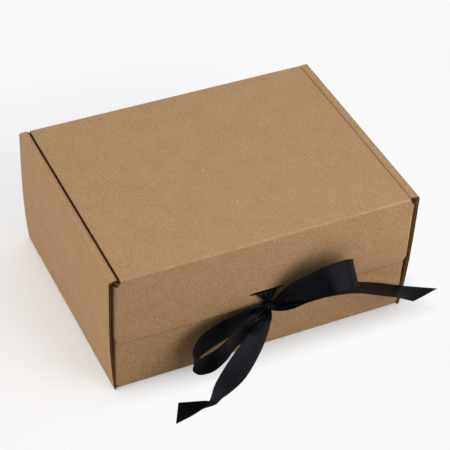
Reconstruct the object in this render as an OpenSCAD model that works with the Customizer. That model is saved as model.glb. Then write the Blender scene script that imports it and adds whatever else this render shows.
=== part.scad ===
// Kraft mailer box with rolled side walls and a satin ribbon bow.
// X runs along the front, Y from the front to the hinge at the back, Z up.
// The origin is at the centre of the underside.

/* [Box] */
// Length across the rolled sides, at the rim
rim_length = 270; // [262:1:300]
// Length across the sides, at the bottom crease
base_length = 261; // [255:1:262]
// Depth over the front and back walls
box_depth = 197; // [160:1:260]
// Height of the closed lid
box_height = 118.3; // [100:0.1:140]
// Thickness of the corrugated board
board_t = 1.5; // [1.2:0.1:1.8]
// Outer radius of a creased corner
crease_r = 2; // [1.7:0.1:2.4]

/* [Rolled sides] */
// Level of the roll's top, measured up from the lid's top
roll_rise = -0.8; // [-1:0.1:0.5]
// Length across the two inner side panels
inner_length = 252.6; // [252:0.1:253]
// Outer radius of the roll's outer shoulder
shoulder_r = 2; // [1.8:0.1:3]
// Outer radius of the roll's inner shoulder
inner_shoulder_r = 2.8; // [2:0.1:4.5]
// Set-back of the roll's mitred front end
roll_mitre = 1.2; // [1:0.1:3]
// Width of a lock tab along the base
lock_tab_w = 40; // [25:1:55]
// Distance of a lock tab from the middle of the side
lock_tab_y = 48; // [40:1:60]

/* [Corner tabs] */
// Length of a corner tab along the side
corner_tab_l = 62; // [40:1:90]
// Height at which a corner tab starts
corner_tab_z = 4; // [4:0.5:10]

/* [Lid and flap] */
// Gap between the lid and the inner side panels, each side
lid_gap = 0.5; // [0.4:0.1:1]
// Gap between the front wall and the flap
flap_gap = 0.9; // [0.8:0.1:1.5]
// Height of the flap's lower edge
flap_bottom = 51; // [45:1:70]
// Length of a lock ear from the flap's face
ear_length = 36; // [20:1:38]
// Outer radius of the crease between the flap and a lock ear
ear_crease_r = 3; // [2:0.1:3.5]
// Radius of the relief cut at each end of the lid's front crease
relief_r = 1.9; // [1.5:0.1:2.5]
// Corner radius of the flap's lower edge
flap_corner = 3; // [1:0.5:6]

/* [Ribbon] */
// Width of the ribbon slot
slot_w = 30.4; // [26:0.2:40]
// Height of the ribbon slot
slot_h = 2.4; // [2:0.1:4]
// Middle of the ribbon slot above the table
slot_z = 63.4; // [62:0.2:80]
// Thickness that stands for the ribbon's cloth
ribbon_t = 0.8; // [0.4:0.1:1]

/* [Hidden] */

kraft = "#B08D66";
kraft_inside = "#A9865F";
satin = "#17181D";

// Half sizes and levels
half_depth = box_depth/2;
half_base = base_length/2;
half_rim = rim_length/2;
inner_x = inner_length/2;             // face of an inner side panel that looks into the box
tab_x = inner_x + board_t;            // inner face of a corner tab
tab_out = tab_x + board_t;            // outer face of a corner tab
fit_gap = 0.3;                        // small clearance between panels of the tray
slot_gap = 0.5;                       // round a lock tab in its slot
ear_x = tab_out + 0.4;                // inner face of a lock ear
ear_out = ear_x + board_t;            // outer face of a lock ear
lid_x = inner_x - lid_gap;            // half length of the lid
lid_low = box_height - board_t;       // underside of the lid
rim_z = box_height + roll_rise;       // top of the rolled sides
flap_y = half_depth + flap_gap + board_t; // outer face of the flap, in front of the origin
side_front = half_depth + 0.7;        // front edge of an outer side panel
shoulder_z = rim_z - shoulder_r;
inner_shoulder_z = rim_z - inner_shoulder_r;
wall_inside = half_depth - board_t;   // inner face of the front and back walls
wall_x = tab_out - crease_r;          // half length of the front and back walls between creases
notch_x = inner_x - fit_gap;          // where their upper corners are notched under the rolls
ear_low = flap_bottom + 7;            // lower edge of a lock ear
ear_top = box_height - 6;             // upper edge of a lock ear
flap_side_top = box_height - 2.6;     // where the flap widens past the lid
flap_flat = ear_out - ear_crease_r;   // half width of the flap between its ears' creases
ear_split = 35;                       // last degrees of that crease, which belong to the ear
flap_inside = -flap_y + board_t;      // inner face of the flap
crease_gap = 0.05;                    // between a moving crease and the piece it turns against
relief_out = 1.7;                     // relief cut's middle, outside the end of the lid
relief_drop = 1.6;                    // and below the lid's top
side_lean = [[0.24, 12], [0.53, 26], [0.82, 48], [0.95, 72]]; // share of the lean, and its height
corner_tab_top = inner_shoulder_z - fit_gap;
corner_tab_near = 4;                  // straight part of a corner tab's edge
corner_tab_slope = 8;                 // rise of its sloping part
mitre_end = inner_x + 0.8;            // where the roll's mitre reaches its full set-back
knot_x = -0.5;
knot_y = -106;
knot_z = 51;
knot_r = 4.9;
back_run_w = 18;                      // width of the ribbon behind the flap
under_run_w = 8;                      // and under the flap's lower edge
back_run_t = 0.4;
back_run_low = flap_bottom - 0.6;

// Points of an arc, from angle a0 to angle a1
function arc(cx, cy, r, a0, a1, steps = 8) =
    [for (i = [0:steps]) let (a = a0 + (a1 - a0)*i/steps) [cx + r*cos(a), cy + r*sin(a)]];

function unit(v) = v/norm(v);

// Direction of a path at point i: at an end it is carried on from the first two steps
function path_direction(p, i) =
    let (last = len(p) - 1)
    i == 0 ? 3*unit(p[1] - p[0]) - unit(p[2] - p[1])
    : i == last ? 3*unit(p[last] - p[last - 1]) - unit(p[last - 1] - p[last - 2])
    : p[i + 1] - p[i - 1];

// Unit normal on the left of a path at point i
function path_normal(p, i) = let (d = unit(path_direction(p, i))) [-d.y, d.x];

// Closed outline of a board whose outer face follows the path p
function board_outline(p, t) =
    concat(p, [for (i = [len(p) - 1:-1:0]) p[i] + t*path_normal(p, i)]);

// A board whose profile lies in the XZ plane, from y0 to y1
module board_xz(p, y0, y1) {
    translate([0, y1, 0]) rotate([90, 0, 0])
        linear_extrude(y1 - y0) polygon(board_outline(p, board_t));
}

// A board whose profile lies in the YZ plane, from x0 to x1
module board_yz(p, x0, x1) {
    translate([x0, 0, 0]) rotate([90, 0, 90])
        linear_extrude(x1 - x0) polygon(board_outline(p, board_t));
}

// The same piece on the left or the right
module on_side(side) {
    if (side > 0) children();
    else mirror([1, 0, 0]) children();
}

// ---- Tray ----

module base_panel() {
    x = half_base - crease_r;
    y = half_depth - crease_r;
    color(kraft_inside) difference() {
        translate([-x, -y, 0]) cube([2*x, 2*y, board_t]);
        for (side = [-1, 1], k = [-1, 1])
            on_side(side) translate([inner_x - fit_gap, k*lock_tab_y - lock_tab_w/2 - slot_gap, -1])
                cube([half_base - inner_x, lock_tab_w + 2*slot_gap, board_t + 2]);
    }
}

// The front and back walls rise from a rounded bottom crease
function wall_profile(top) = concat(
    arc(half_depth - crease_r, crease_r, crease_r, -90, 0), [[half_depth, top]]);

module end_wall(top) {
    difference() {
        board_yz(wall_profile(top), -wall_x, wall_x);
        for (side = [-1, 1])
            on_side(side) translate([notch_x, 0, corner_tab_top]) cube([wall_x, box_depth, box_height]);
    }
}

module front_wall() {
    color(kraft) mirror([0, 1, 0]) end_wall(lid_low - fit_gap);
}

module back_wall() {
    color(kraft) end_wall(box_height - crease_r - crease_gap);
}

// The side leans out from the bottom crease to the rim
function side_profile() = concat(
    arc(half_base - crease_r, crease_r, crease_r, -90, 0),
    [for (p = side_lean) [half_base + p.x*(half_rim - half_base), p.y]],
    [for (drop = [2, 1, 0]) [half_rim, shoulder_z - drop]]);

module outer_panel(side) {
    color(kraft) on_side(side) board_xz(side_profile(), -side_front, half_depth);
}

module top_roll(side) {
    p = concat(arc(half_rim - shoulder_r, shoulder_z, shoulder_r, 0, 90),
        arc(inner_x + inner_shoulder_r, inner_shoulder_z, inner_shoulder_r, 90, 180));
    color(kraft) on_side(side) difference() {
        board_xz(p, -side_front, half_depth);
        translate([0, 0, inner_shoulder_z - 1]) linear_extrude(inner_shoulder_r + 2)
            polygon([[half_rim, -side_front - 1], [half_rim, -side_front],
                [mitre_end, -side_front + roll_mitre], [inner_x - 1, -side_front + roll_mitre],
                [inner_x - 1, -side_front - 1]]);
    }
}

module inner_panel(side) {
    color(kraft_inside) on_side(side) {
        translate([inner_x, -wall_inside + fit_gap, board_t])
            cube([board_t, 2*wall_inside - 2*fit_gap, inner_shoulder_z - board_t]);
        for (k = [-1, 1])
            translate([inner_x, k*lock_tab_y - lock_tab_w/2, fit_gap])
                cube([board_t, lock_tab_w, board_t]);
    }
}

// A tab turns back from the end of a wall and lies inside the side
module corner_tab(side, end) {
    top = corner_tab_top;
    low = corner_tab_z;
    far = half_depth - corner_tab_l;
    near = half_depth - corner_tab_near;
    profile = concat([[tab_out, far]], arc(wall_x, half_depth - crease_r, crease_r, 0, 90));
    color(kraft_inside) on_side(side) scale([1, end, 1]) intersection() {
        translate([0, 0, low]) linear_extrude(top - low) polygon(board_outline(profile, board_t));
        translate([wall_x - 1, 0, 0]) rotate([90, 0, 90]) linear_extrude(crease_r + 2)
            polygon([[half_depth + 1, low], [half_depth + 1, top], [near, top],
                [far, top - corner_tab_slope], [far, low + corner_tab_slope], [near, low]]);
    }
}

// ---- Lid ----

module lid_panel() {
    color(kraft) translate([-lid_x, -flap_y + crease_r, lid_low])
        cube([2*lid_x, flap_y + half_depth - 2*crease_r, board_t]);
}

module lid_back_crease() {
    p = arc(half_depth - crease_r, box_height - crease_r, crease_r, 0, 90);
    color(kraft) board_yz(p, -lid_x, lid_x);
}

// ---- Flap ----

// Half-moon cuts free the flap from the ends of the lid's front crease
module relief_cuts() {
    for (side = [-1, 1])
        translate([side*(lid_x + relief_out), 0, box_height - relief_drop]) rotate([90, 0, 0])
            cylinder(r = relief_r, h = 2*flap_y + 10, center = true, $fn = 48);
}

module front_flap() {
    top = box_height - crease_r - crease_gap;
    low = flap_bottom;
    color(kraft) difference() {
        union() {
            translate([0, flap_inside, 0]) rotate([90, 0, 0]) linear_extrude(board_t) difference() {
                polygon(concat(
                    [[-lid_x, top], [-lid_x, flap_side_top], [-flap_flat, flap_side_top]],
                    arc(-flap_flat + flap_corner, low + flap_corner, flap_corner, 180, 270),
                    arc(flap_flat - flap_corner, low + flap_corner, flap_corner, 270, 360),
                    [[flap_flat, flap_side_top], [lid_x, flap_side_top], [lid_x, top]]));
                hull() for (k = [-1, 1])
                    translate([k*(slot_w - slot_h)/2, slot_z]) circle(d = slot_h, $fn = 32);
            }
            // creases that turn into the lock ears
            for (side = [-1, 1]) on_side(side)
                translate([0, 0, ear_low]) linear_extrude(ear_top - ear_low)
                    polygon(board_outline(
                        arc(flap_flat, -flap_y + ear_crease_r, ear_crease_r, -90, -ear_split), board_t));
        }
        relief_cuts();
    }
}

module lid_front_crease() {
    p = arc(-flap_y + crease_r, box_height - crease_r, crease_r, 90, 180);
    color(kraft) board_yz(p, -lid_x, lid_x);
}

module lock_ear(side) {
    y0 = -flap_y;
    y1 = -flap_y + ear_length;
    nose_r = 10;
    back_r = 8;
    profile = concat(arc(flap_flat, y0 + ear_crease_r, ear_crease_r, -ear_split, 0), [[ear_out, y1]]);
    color(kraft_inside) on_side(side) intersection() {
        translate([0, 0, ear_low]) linear_extrude(ear_top - ear_low)
            polygon(board_outline(profile, board_t));
        translate([flap_flat, 0, 0]) rotate([90, 0, 90]) linear_extrude(2*ear_crease_r)
            polygon(concat(
                [[y0, ear_low], [y1 - 2.2*nose_r, ear_low]],
                arc(y1 - nose_r, ear_low + 1.6*nose_r, nose_r, -60, 0, 6),
                arc(y1 - back_r, ear_top - back_r, back_r, 0, 90, 6), [[y0, ear_top]]));
    }
}

// ---- Ribbon ----

// Point at u between b and c on a smooth curve through a, b, c and d
function smooth_point(a, b, c, d, u) =
    0.5*(2*b + (c - a)*u + (2*a - 5*b + 4*c - d)*u*u + (3*b - a - 3*c + d)*u*u*u);

// A smooth curve through all the points of p, with n steps between them
function smooth_path(p, n) =
    let (last = len(p) - 1)
    concat([for (i = [0:last - 1], k = [0:n - 1])
        smooth_point(p[max(i - 1, 0)], p[i], p[i + 1], p[min(i + 2, last)], k/n)], [p[last]]);

// A strip of ribbon between two edges, each a list of points
module strip(edge_a, edge_b, steps = 4) {
    a = smooth_path(edge_a, steps);
    b = smooth_path(edge_b, steps);
    last = len(a) - 1;
    normals = [for (i = [0:last])
        let (i0 = max(i - 1, 0), i1 = min(i + 1, last),
            along = a[i1] + b[i1] - a[i0] - b[i0])
        unit(cross(along, b[i] - a[i]))*ribbon_t/2];
    points = [for (i = [0:last]) each
        [a[i] + normals[i], b[i] + normals[i], b[i] - normals[i], a[i] - normals[i]]];
    sides = [for (i = [0:last - 1], k = [0:3])
        let (q = 4*i + k, m = 4*i + (k + 1) % 4) each [[q, m, m + 4], [q, m + 4, q + 4]]];
    ends = [[2, 1, 0], [3, 2, 0], [4*last, 4*last + 1, 4*last + 2], [4*last, 4*last + 2, 4*last + 3]];
    polyhedron(points, concat(sides, ends), convexity = 8);
}

module ribbon_knot() {
    color(satin) translate([knot_x, knot_y, knot_z]) scale([1, 0.9, 1.1]) sphere(r = knot_r, $fn = 24);
}

// Edges of the bow, each from the knot outwards: chosen by hand
right_loop_top = [[3, -107.8, 54], [9, -109.5, 66], [14.5, -112, 75], [27.5, -116, 83.5],
    [42, -118, 89.5], [59, -116, 88.5], [68, -113, 84], [71, -111, 81.5], [69, -109.5, 80],
    [60, -111.5, 83], [44, -113.5, 84], [30, -111.5, 78.5], [17.5, -108, 70.5], [11, -106, 62],
    [3.5, -105, 53.5]];
right_loop_low = [[3, -108, 50.5], [12.5, -110, 53], [19.5, -114, 56.5], [32.5, -119, 59.5],
    [45.5, -126, 66.5], [61, -127, 66], [71.5, -122.5, 61.5], [74.5, -120, 58], [72.5, -118, 57.5],
    [62.5, -121.5, 61], [47.5, -121.5, 62], [34.5, -114.5, 58], [22, -109.5, 54.5], [13, -106, 51.5],
    [3.5, -105, 50.3]];
right_tail_back = [[3, -104.2, 48.5], [11, -103.5, 48], [22, -103.5, 49], [38, -103.5, 50],
    [54, -103.5, 50.5], [70, -104, 49.5], [88, -104, 44], [106.5, -104, 36], [125.5, -105, 27.5],
    [158.5, -111.5, 18]];
right_tail_front = [[3, -107.6, 47.6], [11, -111, 46.8], [19.5, -116, 51.5], [30, -119, 56],
    [42.5, -122, 59], [58, -124, 58.6], [75, -124, 53.5], [92, -124, 45], [110, -124, 36],
    [127, -124, 25.5]];
left_loop_top = [[-4, -104.8, 54], [-12, -105, 55], [-30, -108.5, 54.5], [-45.5, -109, 51.5],
    [-60, -110, 45], [-69, -114, 37], [-71, -118.5, 32], [-67, -122, 32], [-62, -123, 35],
    [-55, -124, 39], [-47.5, -124, 44], [-40, -122, 49], [-28.5, -118, 55], [-12, -110, 53.5],
    [-4, -107.6, 52]];
left_loop_low = [[-4, -104.8, 49.8], [-8.5, -103.5, 43], [-22, -103, 31.5], [-35, -106.5, 29],
    [-49, -106.5, 23], [-60, -106, 15], [-67, -110, 10], [-67.5, -115, 9.5], [-63.5, -119, 9.5],
    [-54.5, -123, 14], [-43.5, -121.5, 20], [-32.5, -116.5, 26], [-20.5, -116, 33.5], [-6, -110, 42],
    [-3.6, -107.8, 48.6]];
left_tail_left = [[-2.6, -107.8, 46.8], [-14.5, -115, 43.5], [-26.5, -123, 44], [-37.5, -129, 39],
    [-50, -135, 31], [-62.5, -141.5, 20], [-70.8, -149, 11.2], [-81.5, -150.5, 4.5], [-100.3, -152.4, 1.4]];
left_tail_right = [[1.2, -107.8, 46.4], [0, -111, 36], [-8, -119.5, 27.5], [-20.5, -130, 20.5],
    [-33.5, -137.5, 12], [-46.5, -140, 4], [-60, -142, 1.4], [-71.5, -138, 1.4], [-89.5, -132.5, 1.4]];

module ribbon_left_loop() {
    color(satin) strip(left_loop_top, left_loop_low);
}

module ribbon_right_loop() {
    color(satin) strip(right_loop_top, right_loop_low);
}

module ribbon_left_tail() {
    color(satin) strip(left_tail_left, left_tail_right);
}

module ribbon_right_tail() {
    color(satin) strip(right_tail_back, right_tail_front);
}

// The ribbon comes out of the slot and gathers down to the knot
module ribbon_throat() {
    color(satin) strip(
        [[-10, flap_inside - 0.3, slot_z], [-9.6, -flap_y - 0.9, slot_z - 0.5],
            [-6, -flap_y - 2, slot_z - 4.5], [-3, knot_y + 1, knot_z + 5.6]],
        [[9, flap_inside - 0.3, slot_z], [8.6, -flap_y - 0.9, slot_z - 0.5],
            [5, -flap_y - 2, slot_z - 4.5], [2, knot_y + 1, knot_z + 5.6]]);
}

// It runs down behind the flap and forward under its lower edge
module ribbon_back_run() {
    t = back_run_t;
    gap = 0.1;
    ahead = 0.6;
    color(satin) {
        translate([-back_run_w/2, flap_inside + gap, back_run_low])
            cube([back_run_w, t, slot_z - back_run_low]);
        translate([-under_run_w/2, -flap_y - ahead, back_run_low])
            cube([under_run_w, board_t + ahead + gap, t]);
    }
}

base_panel();
front_wall();
back_wall();
outer_panel(-1);  // left_outer_panel
outer_panel(1);  // right_outer_panel
top_roll(-1);  // left_top_roll
top_roll(1);  // right_top_roll
inner_panel(-1);  // left_inner_panel
inner_panel(1);  // right_inner_panel
corner_tab(-1, -1);  // front_left_corner_tab
corner_tab(1, -1);  // front_right_corner_tab
corner_tab(-1, 1);  // back_left_corner_tab
corner_tab(1, 1);  // back_right_corner_tab
lid_panel();
lid_back_crease();
front_flap();
lid_front_crease();
lock_ear(-1);  // left_lock_ear
lock_ear(1);  // right_lock_ear
ribbon_throat();
ribbon_back_run();
ribbon_knot();
ribbon_left_loop();
ribbon_right_loop();
ribbon_left_tail();
ribbon_right_tail();
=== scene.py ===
# %% [markdown]
# # A kraft gift box tied with a satin ribbon
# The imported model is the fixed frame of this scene: every piece below takes its place from it.
# All sizes are in metres, with X along the front, Y towards the hinge at the back and Z up.

# %% Load the frame
import math
import bpy
from mathutils import Matrix, Vector


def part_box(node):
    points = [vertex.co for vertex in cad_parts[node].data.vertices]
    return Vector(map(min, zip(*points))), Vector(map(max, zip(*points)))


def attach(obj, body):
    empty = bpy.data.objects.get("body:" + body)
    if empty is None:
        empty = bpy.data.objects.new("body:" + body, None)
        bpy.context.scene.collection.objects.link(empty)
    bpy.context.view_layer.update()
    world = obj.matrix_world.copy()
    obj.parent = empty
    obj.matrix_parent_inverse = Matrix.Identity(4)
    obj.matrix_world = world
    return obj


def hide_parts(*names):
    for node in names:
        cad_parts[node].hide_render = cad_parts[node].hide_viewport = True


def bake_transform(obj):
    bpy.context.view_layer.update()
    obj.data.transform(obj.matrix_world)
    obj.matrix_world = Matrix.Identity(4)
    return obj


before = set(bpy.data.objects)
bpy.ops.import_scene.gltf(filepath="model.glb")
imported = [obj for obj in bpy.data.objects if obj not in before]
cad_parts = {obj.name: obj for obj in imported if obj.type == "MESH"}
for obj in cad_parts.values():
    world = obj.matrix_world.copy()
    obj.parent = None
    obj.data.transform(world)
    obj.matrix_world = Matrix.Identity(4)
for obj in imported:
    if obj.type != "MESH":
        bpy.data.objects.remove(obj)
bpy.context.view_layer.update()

mm = 0.001

# %% [markdown]
# ## The camera
# The box is seen from high up at its front left corner, with a long lens that keeps its edges
# nearly parallel. A camera could be turned by hand in the viewport, or told to track an empty. Here
# its matrix is built from three directions, so that the view is the same in each run. A camera
# looks along its own -Z, so the three are right, up and backwards.

# %% Place the camera
camera_at = Vector((-0.46618, -0.92871, 0.95194))
camera_right = Vector((0.905, -0.4233, 0.0429)).normalized()
nearly_up = Vector((0.2482, 0.6072, 0.7548))
camera_back = camera_right.cross(nearly_up).normalized()
camera_up = camera_back.cross(camera_right)
view_angle = 15.733
box_middle = Vector((0, 0, 0.06))

camera = bpy.data.objects.new("camera", bpy.data.cameras.new("camera"))
bpy.context.collection.objects.link(camera)
turn = Matrix((camera_right, camera_up, camera_back)).transposed()
camera.matrix_world = Matrix.Translation(camera_at) @ turn.to_4x4()
camera.data.sensor_fit = "HORIZONTAL"
camera.data.angle = math.radians(view_angle)
bpy.context.scene.camera = camera
print("camera is", round((camera_at - box_middle).length, 3), "m from the box")

# %% [markdown]
# ## Colours and nodes
# A material could be put together by hand in the Shader Editor. Written out, it can be read and
# changed in one place. Colours are given as they look on a screen, and one function turns them into
# the linear values that shaders use. A second function adds a node with its settings and links.

# %% Helpers for materials
def linear(code):
    """Linear RGBA of a screen colour such as #AA8863."""
    shares = [int(code[i:i + 2], 16)/255 for i in (1, 3, 5)]
    return [s/12.92 if s <= 0.04045 else ((s + 0.055)/1.055)**2.4 for s in shares] + [1]


def add_node(tree, kind, links=None, **settings):
    """A node with its settings. links gives each input a value, or the output that feeds it."""
    made = tree.nodes.new(kind)
    for name, value in settings.items():
        setattr(made, name, value)
    for name, value in (links or {}).items():
        if isinstance(value, bpy.types.NodeSocket):
            tree.links.new(value, made.inputs[name])
        else:
            made.inputs[name].default_value = value
    return made


def new_material(name):
    """An empty node tree with a Principled shader that feeds the output."""
    made = bpy.data.materials.new(name)
    made.use_nodes = True
    tree = made.node_tree
    tree.nodes.clear()
    shader = add_node(tree, "ShaderNodeBsdfPrincipled")
    add_node(tree, "ShaderNodeOutputMaterial", {"Surface": shader.outputs["BSDF"]})
    return made, tree, shader


print("middle grey is", round(linear("#808080")[0], 3), "in linear light")

# %% [markdown]
# ## Kraft liner
# The outer papers of the board are unbleached kraft liner: long brown wood fibres, pressed on a
# wire and left matt. The eye gets a fine mottled grain, and soft clouds where the sheet is thicker.
# A picture of paper could be wrapped round each panel, but it would show seams and repeats. Two
# noise textures on Object coordinates have neither. The grain is drawn about three times as coarse
# as the fibres, so that it shows from a metre away.

# %% Grain of the paper
grain_size = 1.5*mm
cloud_size = 14*mm
cloud_share = 0.22
grain_range = 0.28


def kraft_grain(tree, place, tone, pale, dark):
    """Colour of the mottled paper, and the grain and clouds behind it."""
    grain = add_node(tree, "ShaderNodeTexNoise",
                     {"Vector": place, "Scale": 1/grain_size, "Detail": 2, "Roughness": 0.6})
    clouds = add_node(tree, "ShaderNodeTexNoise",
                      {"Vector": place, "Scale": 1/cloud_size, "Detail": 3, "Roughness": 0.5})
    both = add_node(tree, "ShaderNodeMath",
                    {0: clouds.outputs["Fac"], 1: cloud_share, 2: grain.outputs["Fac"]},
                    operation="MULTIPLY_ADD")
    middle = 0.5 + 0.5*cloud_share
    spread = add_node(tree, "ShaderNodeMapRange",
                      {"Value": both.outputs[0], "From Min": middle - grain_range,
                       "From Max": middle + grain_range})
    ramp = add_node(tree, "ShaderNodeValToRGB", {"Fac": spread.outputs["Result"]})
    ramp.color_ramp.elements[0].color = linear(dark)
    ramp.color_ramp.elements[1].color = linear(pale)
    ramp.color_ramp.elements.new(0.5).color = linear(tone)
    return ramp.outputs["Color"], grain.outputs["Fac"], clouds.outputs["Fac"]


print("kraft grain", grain_size/mm, "mm and clouds", cloud_size/mm, "mm")

# %% [markdown]
# Kraft keeps a few dark flecks of bark and pale bundles of fibre. They could be painted one by one,
# but a texture scatters them over every panel at once. A Voronoi texture has one point in each of
# its cells, and the cell's own random colour chooses which points become a fleck.

# %% Flecks in the paper
fleck_spacing = 9*mm
fleck_size = 0.55*mm
fleck_core, fleck_rim = 0.4, 1.6
fleck_strength = 0.75
bark = (0, 1, "#5E4429", 0.22)
fibre_bundles = (3.3, 1.3, "#CDB38E", 0.16)


def add_flecks(tree, place, colour):
    """The colour with both kinds of flecks. Each kind has a shift, a size, a colour and a share."""
    for shift, size, paint, share in (bark, fibre_bundles):
        moved = add_node(tree, "ShaderNodeMapping", {"Vector": place, "Location": (shift, shift, 0)})
        cells = add_node(tree, "ShaderNodeTexVoronoi",
                         {"Vector": moved.outputs["Vector"], "Scale": 1/fleck_spacing})
        chosen = add_node(tree, "ShaderNodeSeparateColor", {"Color": cells.outputs["Color"]})
        rare = add_node(tree, "ShaderNodeMath",
                        {0: chosen.outputs["Red"], 1: share}, operation="LESS_THAN")
        reach = fleck_size*size/fleck_spacing
        dot = add_node(tree, "ShaderNodeMapRange",
                       {"Value": cells.outputs["Distance"], "From Min": fleck_core*reach,
                        "From Max": fleck_rim*reach, "To Min": fleck_strength, "To Max": 0})
        spot = add_node(tree, "ShaderNodeMath",
                        {0: rare.outputs[0], 1: dot.outputs["Result"]}, operation="MULTIPLY")
        flecked = add_node(tree, "ShaderNodeMix",
                           {"Factor": spot.outputs[0], 6: colour, 7: linear(paint)},
                           data_type="RGBA")
        colour = flecked.outputs[2]
    return colour


print("flecks", round(fleck_size/mm, 2), "mm wide, at most one in", fleck_spacing/mm, "mm")

# %% [markdown]
# A bend that hands rub turns paler in patches, because its fibres lift, and the same paler colour is
# also a painted highlight on the round of the crease. Elsewhere a bend is painted darker and redder
# instead, as painted shade. Both could be painted on each panel by hand, but the folding step below
# knows where the board bends. It leaves two attributes on the vertices, one for the wear with its
# painted highlight and one for the painted shade, and the material reads them.

# %% Bends, rubbed with a painted highlight or darkened with painted shade
rubbed_highlight_tone = "#D2B792"
highlight_least, highlight_most = 0.12, 0.3
thin_cloud, thick_cloud = 0.42, 0.62
painted_shade_tone = "#855A30"
painted_shade_share = 0.3


def bend_highlight_and_shade(tree, colour, clouds):
    """The colour, paler where a bend is worn and has a painted highlight, and darker with painted
    shade.
    """
    wear_and_highlight = add_node(tree, "ShaderNodeAttribute", attribute_name="wear_and_highlight")
    patches = add_node(tree, "ShaderNodeMapRange",
                       {"Value": clouds, "From Min": thin_cloud, "From Max": thick_cloud,
                        "To Min": highlight_least, "To Max": highlight_most})
    rubbed_highlight = add_node(tree, "ShaderNodeMath",
                      {0: wear_and_highlight.outputs["Fac"], 1: patches.outputs["Result"]}, operation="MULTIPLY")
    worn_and_lit = add_node(tree, "ShaderNodeMix",
                    {"Factor": rubbed_highlight.outputs[0], 6: colour, 7: linear(rubbed_highlight_tone)},
                    data_type="RGBA")
    painted_shade = add_node(tree, "ShaderNodeAttribute", attribute_name="painted_shade")
    shade_amount = add_node(tree, "ShaderNodeMath",
                      {0: painted_shade.outputs["Fac"], 1: painted_shade_share}, operation="MULTIPLY")
    shaded = add_node(tree, "ShaderNodeMix",
                       {"Factor": shade_amount.outputs[0], 6: worn_and_lit.outputs[2], 7: linear(painted_shade_tone)},
                       data_type="RGBA")
    return shaded.outputs[2]


# The paler tone is wear with a painted highlight, and the darker one is painted shade.
print("rubbed paper goes towards", rubbed_highlight_tone, "and pressed paper towards", painted_shade_tone)

# %% [markdown]
# The fluted paper is glued to the liner along the top of each wave, and the liner shows it as a
# faint ripple. The liner could be modelled wavy, but the ripple is only hundredths of a millimetre
# deep, so a bump is enough. Its height is a cosine of the distance across the flutes, which the
# folding step keeps too. A second wave, twice as long, makes every other flute stand out.

# %% Ripple of the flutes
flute_pitch = 2.93*mm
ripple_share = 0.1
long_wave_share = 1.5


def flute_ripple(tree, grain):
    """Surface normal of paper that ripples with the flutes and is rough with the grain."""
    across = add_node(tree, "ShaderNodeAttribute", attribute_name="across")
    phase = add_node(tree, "ShaderNodeMath",
                     {0: across.outputs["Fac"], 1: math.tau/flute_pitch}, operation="MULTIPLY")
    ripple = add_node(tree, "ShaderNodeMath", {0: phase.outputs[0]}, operation="COSINE")
    half = add_node(tree, "ShaderNodeMath", {0: phase.outputs[0], 1: 0.5}, operation="MULTIPLY")
    long_wave = add_node(tree, "ShaderNodeMath", {0: half.outputs[0]}, operation="COSINE")
    waves = add_node(tree, "ShaderNodeMath",
                     {0: long_wave.outputs[0], 1: long_wave_share, 2: ripple.outputs[0]},
                     operation="MULTIPLY_ADD")
    height = add_node(tree, "ShaderNodeMath",
                      {0: waves.outputs[0], 1: ripple_share, 2: grain}, operation="MULTIPLY_ADD")
    bump = add_node(tree, "ShaderNodeBump",
                    {"Height": height.outputs[0], "Strength": 0.5, "Distance": 0.08*mm})
    return bump.outputs["Normal"]


print("flutes every", round(flute_pitch/mm, 2), "mm")

# %% [markdown]
# The liner puts these parts together. The paper isn't coated, so its gloss is weak and wide, which
# is a high roughness and a low specular level. The liner that faces into the box is a little darker
# than the one outside.

# %% Kraft liner materials
def kraft_liner(name, tone, pale, dark):
    """Kraft paper in its middle tone, with the pale and dark ends of its grain."""
    made, tree, shader = new_material(name)
    place = add_node(tree, "ShaderNodeTexCoord").outputs["Object"]
    mottled, grain, clouds = kraft_grain(tree, place, tone, pale, dark)
    flecked = add_flecks(tree, place, mottled)
    tree.links.new(bend_highlight_and_shade(tree, flecked, clouds), shader.inputs["Base Color"])
    tree.links.new(flute_ripple(tree, grain), shader.inputs["Normal"])
    shader.inputs["Roughness"].default_value = 0.82
    shader.inputs["Specular IOR Level"].default_value = 0.25
    return made


kraft_outside = kraft_liner("kraft_liner_outside", "#AC8962", "#BC9A74", "#99764F")
kraft_inside = kraft_liner("kraft_liner_inside", "#A27E58", "#B08C66", "#906C46")
print("kraft liners:", kraft_outside.name, "and", kraft_inside.name)

# %% [markdown]
# Where the die has cut the board, its ends show the cut fibres, rough and a little browner than the
# liner, and between the liners the fluted paper, which is recycled kraft, and darker. Both are also
# painted darker with shade, the shade of the narrow gaps and grooves that these ends face. The liner's
# material could serve for both, but on so narrow a face its clouds and flecks only look like dirt, so
# one noise is enough.

# %% Cut edge and fluting materials, darkened with painted shade
def plain_kraft(name, pale, dark, size):
    """Kraft paper with its grain only."""
    made, tree, shader = new_material(name)
    place = add_node(tree, "ShaderNodeTexCoord").outputs["Object"]
    grain = add_node(tree, "ShaderNodeTexNoise", {"Vector": place, "Scale": 1/size, "Detail": 3})
    mixed = add_node(tree, "ShaderNodeMix",
                     {"Factor": grain.outputs["Fac"], 6: linear(dark), 7: linear(pale)},
                     data_type="RGBA")
    bump = add_node(tree, "ShaderNodeBump",
                    {"Height": grain.outputs["Fac"], "Strength": 0.6, "Distance": 0.1*mm})
    tree.links.new(mixed.outputs[2], shader.inputs["Base Color"])
    tree.links.new(bump.outputs["Normal"], shader.inputs["Normal"])
    shader.inputs["Roughness"].default_value = 0.9
    shader.inputs["Specular IOR Level"].default_value = 0.2
    return made


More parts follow.
